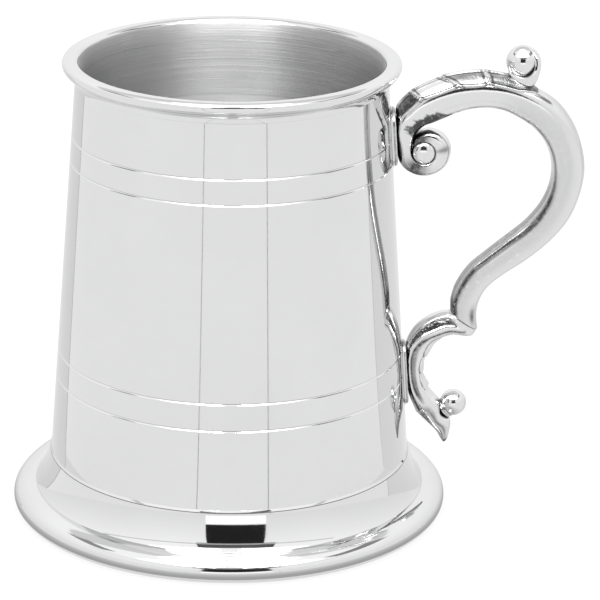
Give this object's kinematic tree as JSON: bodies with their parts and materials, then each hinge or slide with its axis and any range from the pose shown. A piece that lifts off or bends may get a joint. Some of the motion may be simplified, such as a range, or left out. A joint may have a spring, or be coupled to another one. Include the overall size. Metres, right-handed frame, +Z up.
{
  "type": "tankard",
  "caption": "Tapered pewter drinking tankard with a rounded lip, engraved bands, a spread foot and a scroll handle carrying an acanthus leaf and a curled thumb scroll.",
  "frame": {"origin": "on the barrel's axis, in the plane that the foot rests on", "axes": "+Z up along the barrel's axis, +X from the axis towards the handle, +Y completes the right-handed frame"},
  "size_m": [0.1447, 0.1116, 0.1221],
  "materials": {
    "pewter_polished": "mirror-polished pewter",
    "pewter_satin": "satin pewter with fine turning lines",
    "pewter_cast": "cast and polished pewter",
    "pewter_relief": "cast relief, bright ridges over darker hollows",
    "solder": "dressed solder seam"
  },
  "bodies": {
    "root": {"barrel": "pewter_polished", "lip_ring": "pewter_polished", "lip_solder": "solder", "floor_disc": "pewter_satin", "floor_solder": "solder", "foot_skirt": "pewter_polished", "foot_solder": "solder", "foot_bead": "pewter_polished", "bead_solder": "solder", "upper_pad": "pewter_relief", "upper_pad_solder": "solder", "handle_arm": "pewter_cast", "root_volute": "pewter_cast", "volute_eye": "pewter_cast", "acanthus_leaf": "pewter_relief", "thumb_scroll": "pewter_cast", "thumb_eye": "pewter_cast", "scroll_solder": "solder", "lower_scroll": "pewter_cast", "husk_strip": "pewter_relief", "scroll_ball": "pewter_cast", "tail_drop": "pewter_cast", "lower_pad": "pewter_relief", "lower_pad_solder": "solder"}
  },
  "joints": []
}
